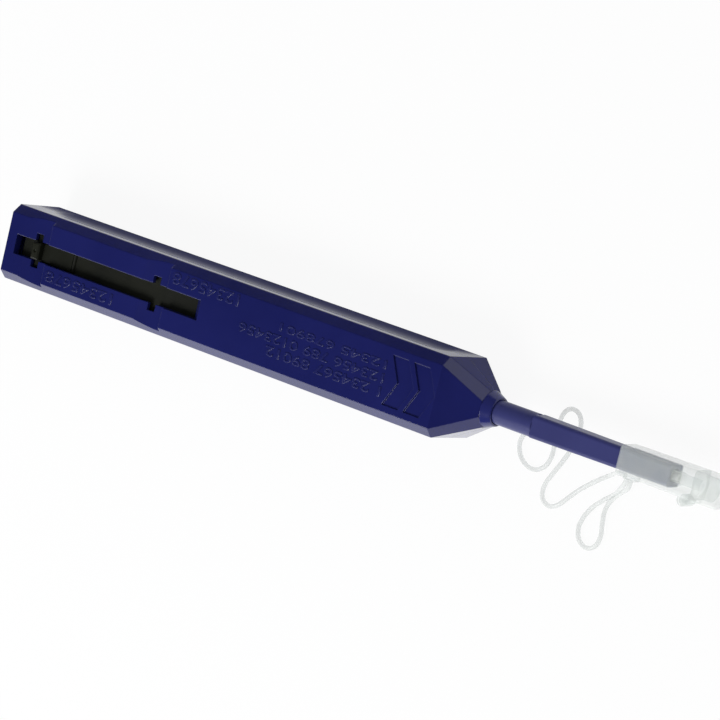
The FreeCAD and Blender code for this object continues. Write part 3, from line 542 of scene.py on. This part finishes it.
def coil_tree():
    """A node tree that winds a round section along the z axis, from zero up."""
    tree = bpy.data.node_groups.new("coil", "GeometryNodeTree")
    tree.interface.new_socket("Geometry", in_out="OUTPUT", socket_type="NodeSocketGeometry")
    for name in ("Turns", "Radius", "Thickness", "Length", "Core"):
        tree.interface.new_socket(name, in_out="INPUT", socket_type="NodeSocketFloat")
    tree.interface.new_socket("Material", in_out="INPUT", socket_type="NodeSocketMaterial")
    given = tree.nodes.new("NodeGroupInput")
    result = tree.nodes.new("NodeGroupOutput")
    spiral = tree.nodes.new("GeometryNodeCurveSpiral")
    section = tree.nodes.new("GeometryNodeCurvePrimitiveCircle")
    section.inputs["Resolution"].default_value = section_sides
    sweep = tree.nodes.new("GeometryNodeCurveToMesh")
    sweep.inputs["Fill Caps"].default_value = True
    core = tree.nodes.new("GeometryNodeMeshCylinder")
    core.inputs["Vertices"].default_value = core_sides
    lift = tree.nodes.new("GeometryNodeTransform")
    shift = tree.nodes.new("ShaderNodeCombineXYZ")
    choose = tree.nodes.new("GeometryNodeSwitch")
    join = tree.nodes.new("GeometryNodeJoinGeometry")
    realize = tree.nodes.new("GeometryNodeRealizeInstances")
    dress = tree.nodes.new("GeometryNodeSetMaterial")
    turns, radius, thickness, length, core_radius, material = list(given.outputs)[:6]
    has_core = number_node(tree, "FunctionNodeCompare", (core_radius, 0.0), "GREATER_THAN")
    for source, target in [
            (turns, spiral.inputs["Rotations"]),
            (calculate(tree, "MULTIPLY", turns, steps_per_turn), spiral.inputs["Resolution"]),
            (radius, spiral.inputs["Start Radius"]),
            (radius, spiral.inputs["End Radius"]),
            (length, spiral.inputs["Height"]),
            (calculate(tree, "MULTIPLY", thickness, 0.5), section.inputs["Radius"]),
            (spiral.outputs["Curve"], sweep.inputs["Curve"]),
            (section.outputs["Curve"], sweep.inputs["Profile Curve"]),
            (core_radius, core.inputs["Radius"]),
            (length, core.inputs["Depth"]),
            (calculate(tree, "MULTIPLY", length, 0.5), shift.inputs["Z"]),
            (core.outputs["Mesh"], lift.inputs["Geometry"]),
            (shift.outputs["Vector"], lift.inputs["Translation"]),
            (has_core, choose.inputs["Switch"]),
            (lift.outputs["Geometry"], choose.inputs["True"]),
            (sweep.outputs["Mesh"], join.inputs["Geometry"]),
            (choose.outputs["Output"], join.inputs["Geometry"]),
            (join.outputs["Geometry"], realize.inputs["Geometry"]),
            (realize.outputs["Geometry"], dress.inputs["Geometry"]),
            (material, dress.inputs["Material"]),
            (dress.outputs["Geometry"], result.inputs["Geometry"])]:
        tree.links.new(source, target)
    return tree


coil_nodes = coil_tree()
print("coil tree inputs", [i.name for i in coil_nodes.interface.items_tree if i.in_out == "INPUT"])

# %% [markdown]
# ## Each coil in its place
# A coil takes its size and its place from the box of the imported node that it stands for.

# %% Wind the springs and the strand
def wound(name, place, **sizes):
    """A coil from the tree as a plain mesh, put in its place."""
    item = bpy.data.objects.new(name, bpy.data.meshes.new(name))
    bpy.context.collection.objects.link(item)
    coil = item.modifiers.new("coil", "NODES")
    coil.node_group = coil_nodes
    for socket in coil_nodes.interface.items_tree:
        if socket.in_out == "INPUT":
            coil[socket.identifier] = sizes[socket.name]
    item.data = as_mesh(item)
    item.modifiers.clear()
    item.data.transform(place)
    for face in item.data.polygons:
        face.use_smooth = len(face.vertices) == 4
    print(name, "faces", len(item.data.polygons))
    return item


def spring_in_place(name, node, thickness, turns, body):
    """A coil spring that fills its node's box."""
    low, high = [Vector(c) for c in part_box(node)]
    outer = (high.y - low.y) / 2
    length = high.x - low.x - thickness
    along_x = Matrix.Rotation(math.pi / 2, 4, "Y")
    place = Matrix.Translation((low.x + thickness / 2, 0, axis_z)) @ along_x
    spring = wound(name, place, Turns=float(turns), Radius=outer - thickness / 2,
                   Thickness=thickness, Length=length, Core=0.0, Material=steel)
    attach(spring, body)
    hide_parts(node)
    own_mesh(spring)


def winding_in_place(name, node, body):
    """A reel's strand, in one visible layer of turns over its core."""
    low, high = [Vector(c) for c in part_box(node)]
    strand = 0.3 * MM
    outer = (high.y - low.y) / 2
    length = high.z - low.z - strand
    place = Matrix.Translation(((low.x + high.x) / 2, 0, low.z + strand / 2))
    winding = wound(name, place, Turns=round(length / strand, 0), Radius=outer - strand / 2,
                    Thickness=strand, Length=length, Core=outer - strand / 2,
                    Material=strand_white)
    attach(winding, body)
    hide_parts(node)


spring_in_place("long_spring", "return_spring", thickness=0.5 * MM, turns=6, body="carriage")
spring_in_place("short_spring", "tip_spring", thickness=0.24 * MM, turns=7, body="nozzle")
winding_in_place("fresh_winding", "supply_strand", "supply_reel")
winding_in_place("used_winding", "takeup_strand", "takeup_reel")

# %% [markdown]
# ## Raised figures on the face
# The face carries rows of small raised figures beside the slot and ahead of it. Plain numbers
# stand there, cut as text, given a thickness and made a mesh, then stretched to the room that
# each row has.

# %% Raise the rows of figures
figure_rise = 0.13 * MM
figure_sink = 0.1 * MM
figure_slope = 0.06 * MM
rear_x = shell_low.x
# the figures, their start and end from the pen's rear, and their foot and head across the face,
# in mm
rows = [
    ("12345678", 15.0, 38.0, -3.5, -6.3),
    ("12345678", 55.0, 76.5, 7.0, 4.0),
    ("1 234567 89012", 87.4, 122.4, -2.0, -4.5),
    ("123456 789 0123456", 78.0, 122.4, 1.1, -1.3),
    ("12345 678901", 90.0, 122.4, 4.1, 2.0),
]


def raised_row(index, text, x0, x1, bottom, top):
    """One row of figures, read from the nozzle's side and stretched into its box on the face."""
    data = bpy.data.curves.new("row", "FONT")
    data.body = text
    data.extrude = (figure_rise + figure_sink) / 2 - figure_slope
    data.bevel_depth = figure_slope
    data.bevel_resolution = 0
    data.size = 2.5 * MM
    data.resolution_u = 4
    item = bpy.data.objects.new("row", data)
    bpy.context.collection.objects.link(item)
    mesh = as_mesh(item)
    bpy.data.objects.remove(item)
    xs = [v.co.x for v in mesh.vertices]
    ys = [v.co.y for v in mesh.vertices]
    wide, tall = max(xs) - min(xs), max(ys) - min(ys)
    middle_z = face_z + (figure_rise - figure_sink) / 2
    place = (Matrix.Translation((rear_x + x1 * MM, bottom * MM, middle_z))
             @ Matrix.Rotation(math.pi, 4, "Z")
             @ Matrix.Diagonal(((x1 - x0) * MM / wide, (bottom - top) * MM / tall, 1.0, 1.0))
             @ Matrix.Translation((-min(xs), -min(ys), 0.0)))
    mesh.transform(place)
    row = bpy.data.objects.new(f"figure_row_{index}", mesh)
    bpy.context.collection.objects.link(row)
    paint(row, figure_blue)
    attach(row, "housing")
    return row


for index, row in enumerate(rows, 1):
    item = raised_row(index, *row)
    print(item.name, "faces", len(item.data.polygons))

# %% [markdown]
# ## The floor
# The pen lies on a white table. The floor glows nearly white to the eye and still takes the
# shadow. In the barrel's gloss it glows too, and that glow is painted light: brighter on the main
# lamp's side, and dimmer on the other one as painted shade.

# %% Lay the floor
def pale_floor(size, to_eye, to_gloss, lamp_side_glow, shaded_side_glow):
    """A pale floor of which a share glows, by what kind of ray meets it, and the rest is lit."""
    mesh = bpy.data.meshes.new("floor")
    half, sunk = size / 2, -0.2 * MM
    corners = [(-half, -half, sunk), (half, -half, sunk), (half, half, sunk), (-half, half, sunk)]
    mesh.from_pydata(corners, [], [(0, 1, 2, 3)])
    floor = bpy.data.objects.new("floor", mesh)
    bpy.context.collection.objects.link(floor)
    pale = (0.9, 0.9, 0.9, 1.0)
    material, tree, shader = start_material("pale_floor", Base_Color=pale, Roughness=0.9)
    glow = tree.nodes.new("ShaderNodeEmission")
    mix = tree.nodes.new("ShaderNodeMixShader")
    path = tree.nodes.new("ShaderNodeLightPath")
    is_eye, is_gloss = path.outputs["Is Camera Ray"], path.outputs["Is Glossy Ray"]
    # Painted light in the floor's glow for gloss: brighter towards the main lamp's side, painted
    # shade on the other side.
    painted_gloss_glow = remap(tree, place_along_axes(tree)[1], -10.0 * MM, 10.0 * MM, lamp_side_glow, shaded_side_glow)
    eye_share = calculate(tree, "MULTIPLY", is_eye, to_eye)
    gloss_share = calculate(tree, "MULTIPLY", is_gloss, to_gloss)
    tree.links.new(remap(tree, is_gloss, 0.0, 1.0, 1.0, painted_gloss_glow), glow.inputs["Strength"])
    tree.links.new(calculate(tree, "MAXIMUM", eye_share, gloss_share), mix.inputs[0])
    tree.links.new(shader.outputs["BSDF"], mix.inputs[1])
    tree.links.new(glow.outputs["Emission"], mix.inputs[2])
    tree.links.new(mix.outputs["Shader"], tree.nodes["Material Output"].inputs["Surface"])
    mesh.materials.append(material)


# The two glows for gloss are painted light on the lamp's side and painted shade on the far side.
pale_floor(6.0, to_eye=0.92, to_gloss=0.75, lamp_side_glow=1.5, shaded_side_glow=0.85)
print("floor laid")

# %% [markdown]
# ## The room and its lamps
# The room is dim above its horizon, so that the dark faces stay dark. A soft lamp above one long
# side gives the main light and the shadow, a wider and lower one lights that side, and a small
# weak one touches the other side.

# %% Light the room
def dim_room(strength, dim_above, dark):
    """White to the eye, a dim room for light, and for gloss white at the horizon but dark above."""
    world = bpy.data.worlds.new("room")
    bpy.context.scene.world = world
    world.use_nodes = True
    tree = world.node_tree
    background = tree.nodes["Background"]
    background.inputs["Color"].default_value = (0.95, 0.97, 1.0, 1.0)
    background.inputs["Strength"].default_value = strength
    white = node_of(tree, "ShaderNodeBackground", Color=(1, 1, 1, 1), Strength=1.0)
    gloss = node_of(tree, "ShaderNodeBackground", Color=(1, 1, 1, 1))
    place = node_of(tree, "ShaderNodeTexCoord")
    split = tree.nodes.new("ShaderNodeSeparateXYZ")
    path = tree.nodes.new("ShaderNodeLightPath")
    for_gloss = tree.nodes.new("ShaderNodeMixShader")
    for_eye = tree.nodes.new("ShaderNodeMixShader")
    tree.links.new(place.outputs["Generated"], split.inputs[0])
    gloss_strength = remap(tree, split.outputs["Z"], 0.0, dim_above, 1.0, dark)
    tree.links.new(gloss_strength, gloss.inputs["Strength"])
    tree.links.new(path.outputs["Is Glossy Ray"], for_gloss.inputs[0])
    tree.links.new(background.outputs[0], for_gloss.inputs[1])
    tree.links.new(gloss.outputs[0], for_gloss.inputs[2])
    tree.links.new(path.outputs["Is Camera Ray"], for_eye.inputs[0])
    tree.links.new(for_gloss.outputs[0], for_eye.inputs[1])
    tree.links.new(white.outputs[0], for_eye.inputs[2])
    tree.links.new(for_eye.outputs[0], tree.nodes["World Output"].inputs["Surface"])


def soft_lamp(name, spot, size, power):
    """A square lamp that shines on the pen and that the camera doesn't see."""
    data = bpy.data.lights.new(name, "AREA")
    data.shape = "SQUARE"
    data.size = size
    data.energy = power
    lamp = bpy.data.objects.new(name, data)
    lamp.visible_camera = False
    bpy.context.collection.objects.link(lamp)
    spot = Vector(spot)
    aim = Vector((0, 0, axis_z)) - spot
    lamp.matrix_world = Matrix.Translation(spot) @ aim.to_track_quat("-Z", "Y").to_matrix().to_4x4()


dim_room(0.45, dim_above=0.06, dark=0.03)
soft_lamp("key_lamp", (-0.15, -0.55, 0.75), size=0.45, power=5.5)
soft_lamp("low_lamp", (-0.55, -0.72, 0.16), size=0.8, power=3.5)
soft_lamp("far_lamp", (0.45, 0.65, 0.13), size=0.25, power=0.22)
bpy.context.scene.view_settings.view_transform = "Standard"
print("lamps placed")
